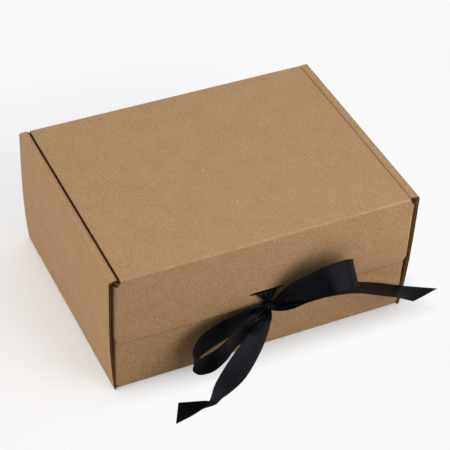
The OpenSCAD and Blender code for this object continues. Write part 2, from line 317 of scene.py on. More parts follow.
# Both colours are darkened with painted shade for the narrow gaps where the cut ends lie.
kraft_cut_shaded = plain_kraft("kraft_cut_edge_shaded", "#8E6A44", "#6E4C2C", 0.5*mm)
kraft_fluting_shaded = plain_kraft("kraft_fluting_shaded", "#6E4C2E", "#523720", 0.8*mm)
board_finishes = [kraft_outside, kraft_inside, kraft_cut_shaded, kraft_fluting_shaded]
outside, inside, cut_edge, flutes = range(len(board_finishes))
print("finishes of the board:", [finish.name for finish in board_finishes])

# %% [markdown]
# ## Satin ribbon
# The bow is woven polyester satin: the lengthwise threads float over the crosswise ones, so the
# face is smooth and its gloss is soft, and stretched across the floats. The dye leaves almost no
# colour, so what the eye gets is mostly that gloss, which is a little cool. Threads could be
# modelled, but a million of them can't be told apart, so a bump draws them. It is a wave for the
# crosswise ribs, and a noise stretched along the ribbon for the floats. The ribs are drawn 0.5 mm
# apart, coarser than the real ones, so that they can show.

# %% Weave of the satin
rib_pitch = 0.5*mm
float_w, float_length = 0.4*mm, 9*mm


def satin_weave(tree, ribbon_map, along, rib_depth):
    """Surface normal of the weave, from the ribbon's own map and the distance along it."""
    phase = add_node(tree, "ShaderNodeMath",
                     {0: along, 1: math.tau/rib_pitch}, operation="MULTIPLY")
    ribs = add_node(tree, "ShaderNodeMath", {0: phase.outputs[0]}, operation="SINE")
    stretched = add_node(tree, "ShaderNodeMapping",
                         {"Vector": ribbon_map, "Scale": (1/float_w, 1/float_length, 1)})
    floats = add_node(tree, "ShaderNodeTexNoise",
                      {"Vector": stretched.outputs["Vector"], "Scale": 1, "Detail": 2})
    height = add_node(tree, "ShaderNodeMath",
                      {0: ribs.outputs[0], 1: rib_depth, 2: floats.outputs["Fac"]},
                      operation="MULTIPLY_ADD")
    bump = add_node(tree, "ShaderNodeBump",
                    {"Height": height.outputs[0], "Strength": 0.35, "Distance": 0.05*mm})
    return bump.outputs["Normal"]


print("satin ribs", rib_pitch/mm, "mm apart")

# %% [markdown]
# The face of the satin and its reverse differ: the reverse shows more of the crosswise threads and
# is duller. Both have a firmer, finer cord along their edges, the selvedge. A plain glossy black
# would shine in round spots. An anisotropic gloss is stretched across the ribbon at every fold,
# because its tangent comes from the ribbon's own map.

# %% Satin materials
ribbon_w = 25*mm
selvedge_w = 0.8*mm
selvedge_tone = "#0A0A0C"
gloss_tone = "#DDE5FF"


def satin(name, face, roughness, rib_depth, gloss):
    """Black satin. Its pattern follows the ribbon's own map, in metres: U across it, V along it."""
    made, tree, shader = new_material(name)
    ribbon_map = add_node(tree, "ShaderNodeUVMap", uv_map="ribbon").outputs["UV"]
    parts = add_node(tree, "ShaderNodeSeparateXYZ", {"Vector": ribbon_map})
    weave = satin_weave(tree, ribbon_map, parts.outputs["Y"], rib_depth)
    middle = add_node(tree, "ShaderNodeMath",
                      {0: parts.outputs["X"], 1: ribbon_w/2}, operation="SUBTRACT")
    from_middle = add_node(tree, "ShaderNodeMath", {0: middle.outputs[0]}, operation="ABSOLUTE")
    edge = add_node(tree, "ShaderNodeMath",
                    {0: from_middle.outputs[0], 1: ribbon_w/2 - selvedge_w}, operation="GREATER_THAN")
    tinted = add_node(tree, "ShaderNodeMix",
                      {"Factor": edge.outputs[0], 6: linear(face), 7: linear(selvedge_tone)},
                      data_type="RGBA")
    tangent = add_node(tree, "ShaderNodeTangent", direction_type="UV_MAP", uv_map="ribbon")
    tree.links.new(tinted.outputs[2], shader.inputs["Base Color"])
    tree.links.new(weave, shader.inputs["Normal"])
    tree.links.new(tangent.outputs["Tangent"], shader.inputs["Tangent"])
    shader.inputs["Roughness"].default_value = roughness
    shader.inputs["Anisotropic"].default_value = 0.5
    shader.inputs["Specular IOR Level"].default_value = gloss
    shader.inputs["Specular Tint"].default_value = linear(gloss_tone)
    shader.inputs["Sheen Weight"].default_value = 0.01
    shader.inputs["Sheen Roughness"].default_value = 0.4
    return made


satin_face = satin("satin_face", "#060608", 0.36, 0.25, 0.1)
satin_reverse = satin("satin_reverse", "#0A0B0E", 0.5, 0.5, 0.15)
print("satin on a ribbon", ribbon_w/mm, "mm wide")

# %% [markdown]
# ## How the box is made
# The whole box is one piece of E-flute board. A die cuts it flat and presses its creases, and then
# it is folded. Each panel could be a plain box, but its cut edges would then lack the waves, and its
# creases their round outside. So each is made as the real one is: flat, as two liners with the
# fluted paper between them, cut by a die in the shape of its outline, and folded along the path
# that its outer face follows. On the flat board U runs along the path, V along the creases, and the
# height is zero on the outer face and negative inside.

# %% Sizes of the board
board_t = 1.5*mm
liner_t = 0.25*mm
fluting_t = 0.18*mm
crease_r = 2*mm
print("board", board_t/mm, "mm thick, with liners of", liner_t/mm, "mm")

# %% [markdown]
# Every step of the modelling is an operator, as a click in the viewport is. An operator acts on all
# that is selected, so these helpers deselect everything first, and go in and out of edit mode. The
# last one draws a line, which most shapes here start from: a plane merged to one vertex, and that
# vertex extruded from point to point. The points could be given to a curve, but a curve has no faces
# to extrude and cut later.

# %% Helpers for modelling
same_place = 1e-7
merge_distance = 1e-6


def start_piece():
    """Deselect all, so that an operator acts only on what is made next."""
    bpy.ops.object.select_all(action="DESELECT")


def apply_modifier(obj, kind, **settings):
    """Add a modifier and apply it at once."""
    made = obj.modifiers.new("step", kind)
    for name, value in settings.items():
        setattr(made, name, value)
    bpy.context.view_layer.objects.active = obj
    bpy.ops.object.modifier_apply(modifier=made.name)


def edit(obj):
    """Go into edit mode with all of the object selected."""
    bpy.context.view_layer.objects.active = obj
    bpy.ops.object.mode_set(mode="EDIT")
    bpy.ops.mesh.select_all(action="SELECT")


def leave_edit():
    """Go back to object mode, which keeps what was edited."""
    bpy.ops.object.mode_set(mode="OBJECT")


def draw_line(name, points):
    """A plane merged to one vertex, which is then extruded from point to point."""
    start_piece()
    bpy.ops.mesh.primitive_plane_add(size=1)
    obj = bpy.context.object
    obj.name = name
    edit(obj)
    bpy.ops.mesh.merge(type="CENTER")
    bpy.ops.transform.translate(value=points[0])
    for here, there in zip(points, points[1:]):
        step = Vector(there) - Vector(here)
        bpy.ops.mesh.extrude_region_move(TRANSFORM_OT_translate={"value": step})
    return obj


print("vertices closer than", merge_distance/mm, "mm are merged")

# %% [markdown]
# ### The fluted paper
# A wave could be a displaced plane, but that needs many faces and its ends don't close. Here one
# wave is drawn as eight short lines, extruded along the flute, and repeated by an Array modifier
# whose copies are merged. Solidify gives it the thickness of the paper, and bisect cuts the ends off
# to the size of the board, and closes them.

# %% Fluted paper
wave_steps = 8


def fluting(u_range, v_range, across):
    """The wavy paper. Its waves follow each other along U where across is 0, and along V at 1."""
    span = (u_range, v_range)[across]
    length = (u_range, v_range)[1 - across]
    first = math.floor(span[0]/flute_pitch)
    count = math.ceil(span[1]/flute_pitch) - first
    height = board_t/2 - liner_t - fluting_t/2

    def flat(s, t, h):
        """A place across the flutes, along them and in height, as U, V and height."""
        return (s, t, h) if across == 0 else (t, s, h)

    wave = [flat(flute_pitch*(first + k/wave_steps), length[0],
                 height*math.cos(math.tau*k/wave_steps) - board_t/2) for k in range(wave_steps + 1)]
    obj = draw_line("fluting", wave)
    bpy.ops.mesh.select_all(action="SELECT")
    bpy.ops.mesh.extrude_region_move(
        TRANSFORM_OT_translate={"value": flat(0, length[1] - length[0], 0)})
    leave_edit()
    apply_modifier(obj, "ARRAY", count=count, use_relative_offset=False, use_constant_offset=True,
                   constant_offset_displace=flat(flute_pitch, 0, 0), use_merge_vertices=True,
                   merge_threshold=merge_distance)
    apply_modifier(obj, "SOLIDIFY", thickness=fluting_t, offset=0)
    edit(obj)
    for end, side in ((span[0], -1), (span[1], 1)):
        bpy.ops.mesh.select_all(action="SELECT")
        bpy.ops.mesh.bisect(plane_co=flat(end, 0, 0), plane_no=flat(side, 0, 0),
                            threshold=same_place, use_fill=True, clear_outer=True)
    leave_edit()
    return obj


print("each wave has", wave_steps, "lines")

# %% [markdown]
# ### The liners
# A liner is a thin sheet, so a cube at its size does. A flat face can't bend, though, so bisect cuts
# the sheet across at each point of the path. Subdividing it evenly would miss the creases.

# %% Liners
def liner(u_range, v_range, top, fold_lines):
    """A flat liner whose upper face is at the height top, cut across at each fold line."""
    start_piece()
    middle = (sum(u_range)/2, sum(v_range)/2, top - liner_t/2)
    size = (u_range[1] - u_range[0], v_range[1] - v_range[0], liner_t)
    bpy.ops.mesh.primitive_cube_add(size=1, location=middle)
    obj = bpy.context.object
    bpy.ops.transform.resize(value=size, center_override=middle)
    bpy.ops.object.transform_apply(location=True, rotation=True, scale=True)
    edit(obj)
    for u in fold_lines:
        bpy.ops.mesh.select_all(action="SELECT")
        bpy.ops.mesh.bisect(plane_co=(u, 0, 0), plane_no=(1, 0, 0), threshold=same_place)
    leave_edit()
    return obj


print("fluting stands", round((board_t - 2*liner_t)/mm, 2), "mm high between the liners")

# %% [markdown]
# ### The die
# A die is the outline of a panel, drawn on the flat board, filled, and extruded through it. What
# the die covers is kept, by an Intersect of the Boolean modifier, and holes are cut with Difference.
# Faces could be cut by hand instead, but a Boolean cuts liners and flutes alike, and closes each cut.

# %% Dies
die_margin = 1*mm


def arc(a, b, r, start, stop, steps=8):
    """Points of an arc about (a, b), with its angles in degrees."""
    turns = [math.radians(start + (stop - start)*k/steps) for k in range(steps + 1)]
    return [(a + r*math.cos(t), b + r*math.sin(t)) for t in turns]


def make_die(points):
    """A prism through the board with the outline that the points give."""
    obj = draw_line("die", [(u, v, -board_t - die_margin) for u, v in points])
    bpy.ops.mesh.select_all(action="SELECT")
    bpy.ops.mesh.edge_face_add()
    bpy.ops.mesh.extrude_region_move(
        TRANSFORM_OT_translate={"value": (0, 0, board_t + 2*die_margin)})
    bpy.ops.mesh.select_all(action="SELECT")
    bpy.ops.mesh.normals_make_consistent(inside=False)
    leave_edit()
    return obj


def die_cut(layers, points, operation):
    """Cut each layer of the board with one die."""
    die = make_die(points)
    for layer in layers:
        apply_modifier(layer, "BOOLEAN", object=die, operation=operation, solver="EXACT")
    bpy.data.objects.remove(die)


print("a die stands", die_margin/mm, "mm out of both faces of the board")

# %% [markdown]
# ### Folding
# The Simple Deform modifier could bend a panel, but only about one centre. Here a fold is a path for
# the outer face, in one plane, with straight stretches and arcs. Each vertex of the flat board goes
# to the point of the path at its U, moved inwards along the path's normal by its depth.

# %% Paths of a fold
bend_start = 0.3


def path_lengths(path):
    """Distance along the path to each of its points."""
    lengths = [0]
    for here, there in zip(path, path[1:]):
        lengths.append(lengths[-1] + math.dist(here, there))
    return lengths


def path_normals(path):
    """Outward unit normals: the outside is on the right of the path."""
    steps = [(Vector(b) - Vector(a)).normalized() for a, b in zip(path, path[1:])]
    if len(steps) == 1:
        along = [steps[0]]*2
    else:
        inner = [a + b for a, b in zip(steps, steps[1:])]
        along = [3*steps[0] - steps[1]] + inner + [3*steps[-1] - steps[-2]]
    return [Vector((d.y, -d.x)).normalized() for d in along]


def path_bends(path):
    """One in the middle of a tight crease, and zero on a flat stretch and at a crease's ends."""
    turns = [0]
    for a, b, c in zip(path, path[1:], path[2:]):
        first, second = Vector(b) - Vector(a), Vector(c) - Vector(b)
        turns.append(first.angle(second)/((first.length + second.length)/2)*crease_r)
    turns.append(0)
    last = len(path) - 1
    return [min(1, turns[i]) if 0 < i < last and min(turns[i - 1], turns[i + 1]) > bend_start else 0
            for i in range(last + 1)]


quarter = arc(0, 0, crease_r, 0, 90)
print("a crease is", round(path_lengths(quarter)[-1]/mm, 2), "mm long on its outside")

# %% [markdown]
# The fold keeps three values on the vertices for the materials: the distance across the flutes, how
# much the path bends there, and on a free lower edge a thin rim on the outer liner, three times as
# strong as a bend, which is painted shade for the shadow line under that edge. A bend counts as wear,
# with a painted highlight, where hands rub it, and as painted shade elsewhere. These marks could be
# painted as textures, but values on the vertices need no map.

# %% Fold a flat board
inner_bend_share = 0.3
rim_shade_strength = 3


def fold(obj, path, world, across, bend_as, rim, low):
    """Move the flat board's vertices on to the path, and keep what the materials read."""
    lengths, normals, bends = path_lengths(path), path_normals(path), path_bends(path)
    across_mark = obj.data.attributes.new("across", "FLOAT", "POINT")
    bend_mark = obj.data.attributes.new(bend_as, "FLOAT", "POINT")
    rim_shade_mark = obj.data.attributes.new("painted_shade", "FLOAT", "POINT") if rim else None
    for vertex in obj.data.vertices:
        u, v, h = vertex.co
        i = max(0, min(len(path) - 2, sum(u > x for x in lengths[1:])))
        share = (u - lengths[i])/(lengths[i + 1] - lengths[i])
        on_path = Vector(path[i]).lerp(Vector(path[i + 1]), share)
        out = normals[i].lerp(normals[i + 1], share).normalized()
        across_mark.data[vertex.index].value = (u, v)[across]
        depth_share = 1 if h > -liner_t else inner_bend_share
        bend_mark.data[vertex.index].value = depth_share*(bends[i]*(1 - share) + bends[i + 1]*share)
        # A rim along a free lower edge is painted shade, for the shadow line under that edge.
        in_outer_liner = h > -1.5*liner_t
        if rim_shade_mark and in_outer_liner:
            rim_shade_mark.data[vertex.index].value = rim_shade_strength*max(0, 1 - (v - low)/rim)
        vertex.co = world(on_path.x + h*out.x, on_path.y + h*out.y, v)


print("the inner liner shows", inner_bend_share, "of a bend's mark")

# %% [markdown]
# ### A panel
# A flat panel is the two liners with the fluted paper between them. One solid slab would do from far
# away, but the layers show at each cut end, so each of them has its own paper, and the cut edges of
# the liners have theirs.

# %% Layers and their papers
def board_layers(lengths, v_range, across):
    """The outer liner, the inner liner and the fluted paper of a flat panel."""
    u_range = (0, lengths[-1])
    outer = liner(u_range, v_range, 0, lengths[1:-1])
    inner = liner(u_range, v_range, liner_t - board_t, lengths[1:-1])
    return [outer, inner, fluting(u_range, v_range, across)]


def finish_layers(layers):
    """Put its paper on each layer. A liner's face that stands on edge is a cut one."""
    for layer, finish in zip(layers, (outside, inside, flutes)):
        for material in board_finishes:
            layer.data.materials.append(material)
        layer.data.update()
        for face in layer.data.polygons:
            is_edge = finish != flutes and abs(face.normal.z) < 0.5
            face.material_index = cut_edge if is_edge else finish


def join_layers(layers, name):
    """One object of all the layers."""
    start_piece()
    for layer in layers:
        layer.select_set(True)
    bpy.context.view_layer.objects.active = layers[0]
    bpy.ops.object.join()
    panel = bpy.context.object
    panel.name = name
    return panel


print("a panel has 3 layers and", len(board_finishes), "finishes")

# %% [markdown]
# One function takes a panel through all of the steps. The layers could be folded one by one, but
# joined into one object they bend together. The outer liner gets one more cut, along a rim of painted
# shade, where a panel has one.

# %% Make a panel
sharp_fold = 35


def board(name, path, v_range, world, across, outline=None, holes=(), bend_as="wear_and_highlight", rim=0):
    """A panel of corrugated board: cut flat, then folded to its place."""
    layers = board_layers(path_lengths(path), v_range, across)
    if outline:
        die_cut(layers, outline, "INTERSECT")
    for hole in holes:
        die_cut(layers, hole, "DIFFERENCE")
    if rim:
        edit(layers[0])
        bpy.ops.mesh.bisect(plane_co=(0, v_range[0] + rim, 0), plane_no=(0, 1, 0),
                            threshold=same_place)
        leave_edit()
    finish_layers(layers)
    panel = join_layers(layers, name)
    fold(panel, path, world, across, bend_as, rim, v_range[0])
    edit(panel)
    bpy.ops.mesh.remove_doubles(threshold=merge_distance)
    bpy.ops.mesh.normals_make_consistent(inside=False)
    leave_edit()
    bpy.ops.object.shade_smooth_by_angle(angle=math.radians(sharp_fold))
    print(name, len(panel.data.polygons), "faces")
    return panel


print("a panel is smooth where it turns by less than", sharp_fold, "degrees")

# %% [markdown]
# Each panel stands for one solid of the frame, and each but the two lid creases moves with one body.
# Its path lies in one of three planes, and a small function turns the path's two numbers and V to a
# place on the box. An object could be turned there instead, but then its place wouldn't be in its
# mesh.

# %% Place a panel
def finish_board(panel, node, body):
    """The panel stands for its CAD node, and rides on its body when one is given."""
    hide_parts(node)
    if body:
        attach(panel, body)


def on_yz(sign):
    """A path in the YZ plane, with V along X. A sign of -1 is for the front."""
    return lambda a, b, v: (v, sign*a, b)


def on_xz(sign):
    """A path in the XZ plane, with V along Y. A sign of -1 is for the left side."""
    return lambda a, b, v: (sign*a, v, b)


def on_xy(sign_x, sign_y):
    """A path in the XY plane, with V along Z."""
    return lambda a, b, v: (sign_x*a, sign_y*b, v)


print("the point (0.1, 0.02) of a front path is at", on_yz(-1)(0.1, 0.02, 0))

# %% [markdown]
# ## The tray
# The base and the four walls are one sheet, turned up at creases with a round outer corner. The
# box's sizes could be typed in again here. They are read from the frame instead, so that each panel
# fits the solid that it stands for.

# %% Sizes from the frame
half_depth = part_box("back_wall")[1].y
wall_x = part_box("front_wall")[1].x
half_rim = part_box("right_top_roll")[1].x
rim_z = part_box("right_top_roll")[1].z
side_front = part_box("right_outer_panel")[0].y
shoulder_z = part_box("right_outer_panel")[1].z
half_base_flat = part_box("base_panel")[1].x
inner_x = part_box("right_inner_panel")[0].x
box_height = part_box("lid_panel")[1].z
lid_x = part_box("lid_panel")[1].x
lid_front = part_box("lid_panel")[0].y
flap_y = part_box("front_flap")[0].y
inner_shoulder_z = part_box("right_inner_panel")[1].z
inner_shoulder_r = rim_z - inner_shoulder_z
tab_low, tab_top = (corner.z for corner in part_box("front_right_corner_tab"))
flap_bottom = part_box("front_flap")[0].z
base_y = half_depth - crease_r
crease_z = box_height - crease_r
fit_gap = 0.3*mm
print("box", round(2*half_rim/mm, 1), "x", round(2*half_depth/mm, 1), "x", round(rim_z/mm, 1), "mm")

# %% [markdown]
# The base is the bottom of the box, and the tabs of the doubled sides lock into four slots in it. A
# slot could be an inset face pushed through, but a die cuts the flutes inside the board as well.

# %% Base panel
lock_y, lock_w = 48*mm, 40*mm
slot_play, slot_reach = 0.5*mm, 1*mm
half_slot = lock_w/2 + slot_play
base_path = [(-base_y, 0), (base_y, 0)]
lock_slots = []
for side in (-1, 1):
    for place in (-lock_y, lock_y):
        u0, u1 = place + base_y - half_slot, place + base_y + half_slot
        v0, v1 = sorted((side*(inner_x - fit_gap), side*(half_base_flat + slot_reach)))
        lock_slots.append([(u0, v0), (u1, v0), (u1, v1), (u0, v1)])
base = board("base", base_path, (-half_base_flat, half_base_flat), on_yz(1), 1,
             holes=lock_slots)
finish_board(base, "base_panel", "tray")

# %% [markdown]
# The front and back walls turn up from the base at a round crease, with the flutes upright. Crease
# and wall could be two pieces, but on one path they stay one piece of board without a seam. Their
# ends are notched at the top, where the rolled sides lie over them.

# %% Front and back walls
notch_x = inner_x - fit_gap
for name, sign, top in (("front", -1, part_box("front_wall")[1].z), ("back", 1, crease_z)):
    path = arc(base_y, crease_r, crease_r, -90, 0) + [(half_depth, top)]
    wall_u = path_lengths(path)[-1]
    notch_u = wall_u - (top - tab_top)
    wall_half = [(0, wall_x), (notch_u, wall_x), (notch_u, notch_x), (wall_u, notch_x)]
    wall_outline = wall_half + [(u, -v) for u, v in wall_half[::-1]]
    wall = board(name + "_panel", path, (-wall_x, wall_x), on_yz(sign), 1, outline=wall_outline)
    finish_board(wall, name + "_wall", "tray")

# %% [markdown]
# The sides are doubled. The outer panel leans out a little to the rim, rolls over the top and
# comes down inside as the inner panel. Their flutes lie along the side, so the waves show at its
# front end. One path could go all the way round, but the frame has the side as three solids, so
# each path starts where the one before it ends. The lean is a list of shares of the way out, each
# with its height. The roll's front end is cut back a little towards the inside, as a mitre is.

# %% Side walls
lean = [(0.24, 12*mm), (0.53, 26*mm), (0.82, 48*mm), (0.95, 72*mm)]
half_base = half_base_flat + crease_r
shoulder_r = rim_z - shoulder_z
roll_mitre = 1.2*mm
mitre_rest = 0.8*mm
side_path = (arc(half_base_flat, crease_r, crease_r, -90, 0)
             + [(half_base + share*(half_rim - half_base), z) for share, z in lean]
             + [(half_rim, shoulder_z - 2*mm), (half_rim, shoulder_z - 1*mm), (half_rim, shoulder_z)])
roll_path = (arc(half_rim - shoulder_r, shoulder_z, shoulder_r, 0, 90)
             + arc(inner_x + inner_shoulder_r, inner_shoulder_z, inner_shoulder_r, 90, 180))
roll_lengths = path_lengths(roll_path)
mitre_slope = roll_mitre/(half_rim - inner_x - mitre_rest)
roll_front = [(u, side_front + min(roll_mitre, mitre_slope*(half_rim - a)))
              for u, (a, b) in zip(roll_lengths, roll_path)]
roll_outline = roll_front + [(roll_lengths[-1], half_depth), (0, half_depth)]
for name, sign in (("left", -1), ("right", 1)):
    # The bends of the side and its roll are darkened with painted shade.
    outer_side = board(name + "_side", side_path, (side_front, half_depth), on_xz(sign), 0,
                       bend_as="painted_shade")
    finish_board(outer_side, name + "_outer_panel", "tray")
    roll = board(name + "_roll", roll_path, (side_front, half_depth), on_xz(sign), 0,
                 outline=roll_outline, bend_as="painted_shade")
    finish_board(roll, name + "_top_roll", "tray")

# %% [markdown]
# The inner panel is flat, with two tabs on its lower edge that go down into the slots of the base.
# They could be extruded from that edge, but the die has them in its outline already.

# %% Inner side panels
inner_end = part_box("right_inner_panel")[1].y
tab_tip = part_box("right_inner_panel")[0].z
inner_path = [(inner_x, inner_shoulder_z), (inner_x, tab_tip)]
shoulder_u = inner_shoulder_z - board_t
tip_u = inner_shoulder_z - tab_tip
inner_outline = [(0, -inner_end), (shoulder_u, -inner_end)]
for place in (-lock_y, lock_y):
    inner_outline += [(shoulder_u, place - lock_w/2), (tip_u, place - lock_w/2),
                      (tip_u, place + lock_w/2), (shoulder_u, place + lock_w/2)]
inner_outline += [(shoulder_u, inner_end), (0, inner_end)]
for name, sign in (("left", -1), ("right", 1)):
    inner_side = board(name + "_inner_side", inner_path, (-inner_end, inner_end),
                       on_xz(sign), 0, outline=inner_outline)
    finish_board(inner_side, name + "_inner_panel", "tray")

# %% [markdown]
# At each end of the front and back walls a tab turns back between the two layers of the side, and
# ties the corner. One tab could be mirrored to the other corners, but a mirror turns faces inside
# out, so each is folded along its own path, with the signs of its corner.

# %% Corner tabs
tab_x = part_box("front_right_corner_tab")[1].x
tab_length, tab_straight, tab_slope = 62*mm, 4*mm, 8*mm
tab_path = [(tab_x, half_depth - tab_length)] + arc(wall_x, base_y, crease_r, 0, 90)
tab_end = path_lengths(tab_path)[-1]
tab_near = tab_length - tab_straight
tab_outline = [(0, tab_low + tab_slope), (tab_near, tab_low), (tab_end, tab_low),
               (tab_end, tab_top), (tab_near, tab_top), (0, tab_top - tab_slope)]
for end, sign_y in (("front", -1), ("back", 1)):
    for side, sign_x in (("left", -1), ("right", 1)):
        tab = board(f"{end}_{side}_tab", tab_path, (tab_low, tab_top), on_xy(sign_x, sign_y),
                    0, outline=tab_outline)
        finish_board(tab, f"{end}_{side}_corner_tab", "tray")

# %% [markdown]
# ## The lid and its flap
# The lid hangs on the back crease, and the flap on the lid's front crease. A crease that rode on one
# body would tear away from the other, so each is its own strip of board, and it rides on no body.

# %% Lid and its creases
lid_path = [(-lid_front, box_height), (-base_y, box_height)]
lid = board("lid", lid_path, (-lid_x, lid_x), on_yz(-1), 1)
finish_board(lid, "lid_panel", "lid")

back_crease_path = arc(base_y, crease_z, crease_r, 0, 90)
back_crease = board("back_crease", back_crease_path, (-lid_x, lid_x), on_yz(1), 1)
finish_board(back_crease, "lid_back_crease", None)
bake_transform(back_crease)

front_crease_path = arc(-flap_y - crease_r, crease_z, crease_r, 0, 90)
front_crease = board("front_crease", front_crease_path, (-lid_x, lid_x), on_yz(-1), 1)
finish_board(front_crease, "lid_front_crease", None)
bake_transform(front_crease)

# %% [markdown]
# The flap hangs outside the front wall. The ribbon's slot is near its lower edge, a half-moon cut
# frees each end of its crease, and a round crease at each side turns into a lock ear. That crease
# could be a third piece, but as the frame has it, most of its arc belongs to the flap and the rest
# to the ear. The flap's path runs from right to left, which puts its outer face in front.

# %% Front flap
ear_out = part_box("front_flap")[1].x
ear_crease_r = 3*mm
ear_split = 35
flap_flat = ear_out - ear_crease_r
ear_low, ear_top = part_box("right_lock_ear")[0].z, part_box("right_lock_ear")[1].z
flap_side_top = box_height - 2.6*mm
flap_corner = 3*mm
# The flap's lower edge has a rim of painted shade, the shadow line under it.
rim_w = 1.1*mm
slot_w, slot_h, slot_z = 30.4*mm, 2.4*mm, 63.4*mm
relief_r, relief_out, relief_drop = 1.9*mm, 1.7*mm, 1.6*mm
flap_centre = -flap_y - ear_crease_r
flap_path = (arc(flap_flat, flap_centre, ear_crease_r, ear_split, 90)
             + arc(-flap_flat, flap_centre, ear_crease_r, 90, 180 - ear_split))
mid_u = path_lengths(flap_path)[-1]/2


def flap_half(side):
    """Half of the flap's outline, from the middle of its lower edge up to its crease."""
    corner = arc(flap_flat - flap_corner, flap_bottom + flap_corner, flap_corner, -90, 0, 6)
    half = corner + [(mid_u, ear_low), (mid_u, ear_top), (flap_flat, ear_top),
                     (flap_flat, flap_side_top), (lid_x, flap_side_top), (lid_x, crease_z)]
    return [(mid_u + side*x, z) for x, z in half]


flap_outline = flap_half(1) + flap_half(-1)[::-1]
half_slot_w = (slot_w - slot_h)/2
ribbon_slot = (arc(mid_u + half_slot_w, slot_z, slot_h/2, -90, 90)
               + arc(mid_u - half_slot_w, slot_z, slot_h/2, 90, 270))
# A circle of 24 points: the last one is 15 degrees before the first
reliefs = [arc(mid_u + side*(lid_x + relief_out), box_height - relief_drop, relief_r, 0, 345, 23)
           for side in (-1, 1)]
flap = board("flap", flap_path, (flap_bottom, crease_z), on_xy(1, -1), 0,
             outline=flap_outline, holes=[ribbon_slot] + reliefs, rim=rim_w)
finish_board(flap, "front_flap", "flap")

# %% [markdown]
# The ears slip between the two layers of the sides, which keeps the flap shut. An ear could be
# drawn by hand round its corners, but two arcs in its outline give it the round tip that finds its
# way into the gap.

# %% Lock ears
ear_reach = 36*mm
ear_tip_low, ear_tip_r, ear_top_r = 16*mm, 10*mm, 8*mm
ear_straight = 22*mm
ear_path = (arc(flap_flat, flap_y + ear_crease_r, ear_crease_r, -ear_split, 0)
            + [(ear_out, flap_y + ear_reach)])
ear_length = path_lengths(ear_path)[-1]
ear_outline = ([(0, ear_low), (ear_length - ear_straight, ear_low)]
               + arc(ear_length - ear_tip_r, ear_low + ear_tip_low, ear_tip_r, -60, 0, 6)
               + arc(ear_length - ear_top_r, ear_top - ear_top_r, ear_top_r, 0, 90, 6)
               + [(0, ear_top)])
for name, sign in (("left", -1), ("right", 1)):
    ear = board(name + "_ear", ear_path, (ear_low, ear_top), on_xy(sign, 1), 0,
                outline=ear_outline)
    finish_board(ear, name + "_lock_ear", "flap")

# %% [markdown]
# ## The satin bow
# The ribbon is one flat strip, 25 mm wide. It goes through the slot and round the flap's lower edge,
# and its two ends are tied in a bow. A cloth simulation could tie it, but it would need many tries to
# fall like this one. So each stretch is a sheet between two edges, whose points are listed, and a
# smooth curve goes through the points.

# %% Smooth edges
def smooth_point(a, b, c, d, u):
    """Point at u between b and c, on a smooth curve through a, b, c and d."""
    return 0.5*(2*b + (c - a)*u + (2*a - 5*b + 4*c - d)*u*u + (3*b - a - 3*c + d)*u*u*u)


def smooth_path(points, steps):
    """A smooth curve through all the points."""
    p = [Vector(x)*mm for x in points]
    last = len(p) - 1
    curve = [smooth_point(p[max(i - 1, 0)], p[i], p[i + 1], p[min(i + 2, last)], k/steps)
             for i in range(last) for k in range(steps)]
    return curve + [p[last]]


hump = smooth_path([(0, 0, 0), (10, 0, 5), (20, 0, 0)], 8)
print("three points make a curve of", len(hump), "points")

# %% [markdown]
# Where the two edges come closer than the ribbon's width, the cloth gathers. Its pleats could be
# drawn point by point, but cloth doesn't shrink, and that gives their height: a row of waves must be
# so high that the way across them is still 25 mm. The height is found by halving the range that it
# must be in.

# %% Height of the pleats
across_steps = 28
halvings = 20


def pleat_height(width, pleats):
    """Height at which a row of pleats on this width uses up the whole ribbon."""
    low, high = 0, ribbon_w
    for _ in range(halvings):
        middle = (low + high)/2
        points = [(width*k/across_steps, middle*math.sin(math.tau*pleats*k/across_steps))
                  for k in range(across_steps + 1)]
        if path_lengths(points)[-1] > ribbon_w:
            high = middle
        else:
            low = middle
    return low


print("three pleats on 15 mm are", round(pleat_height(15*mm, 3)/mm, 1), "mm high")

# %% [markdown]
# A stretch is made row by row. Each row goes straight from one edge to the other, and is then lifted
# by its pleats near the knot, and by a low crown in its middle, because cloth seldom lies flat. A
# plain Subdivision of a few faces would round the edges off and lose the ribbon's width. Each point
# also gets its place on the flat ribbon, which is the map that the satin's pattern follows.

# %% Rows of a stretch
knot_at = Vector((-0.5, -106, 51))*mm
gather_reach = 36*mm
fade_share = 0.4


def pleated_rows(edge_a, edge_b, pleats, share, steps, crowns, open_width):
    """Points row by row, their places on the flat ribbon, and the length of the stretch."""
    a, b = smooth_path(edge_a, steps), smooth_path(edge_b, steps)
    last = len(a) - 1
    crowns = crowns + [0]
    points, map_points, length = [], [], 0
    for i in range(last + 1):
        i0, i1 = max(i - 1, 0), min(i + 1, last)
        along = a[i1] + b[i1] - a[i0] - b[i0]
        side = b[i] - a[i]
        out = along.cross(side).normalized()
        width = side.length
        from_knot = ((a[i] + b[i])/2 - knot_at).length
        near_knot = min(1, max(0, (gather_reach - from_knot)/(fade_share*gather_reach)))
        gather = near_knot*min(1, max(0, (open_width - width)/(fade_share*open_width)))
        height = share*gather*pleat_height(min(width, ribbon_w), pleats)
        point, part = i//steps, (i % steps)/steps
        crown_height = (crowns[point]*(1 - part) + crowns[point + 1]*part)*mm
        if i:
            length += ((a[i] + b[i]) - (a[i - 1] + b[i - 1])).length/2
        for k in range(across_steps + 1):
            v = k/across_steps
            crown = crown_height*(1 - (2*v - 1)**2)
            lift = height*math.sin(math.tau*pleats*v) + crown
            points.append(a[i].lerp(b[i], v) + out*lift)
            map_points.append((v*ribbon_w, length))
    return points, map_points, length


print("the ribbon gathers within", round(gather_reach/mm), "mm of the knot")

# %% [markdown]
# The rows become a mesh with its map. It could stay without a thickness, but then it would have only
# one finish. Solidify makes it as thick as satin, with the duller reverse on its other side. Every
# stretch hangs on the flap and moves with it.

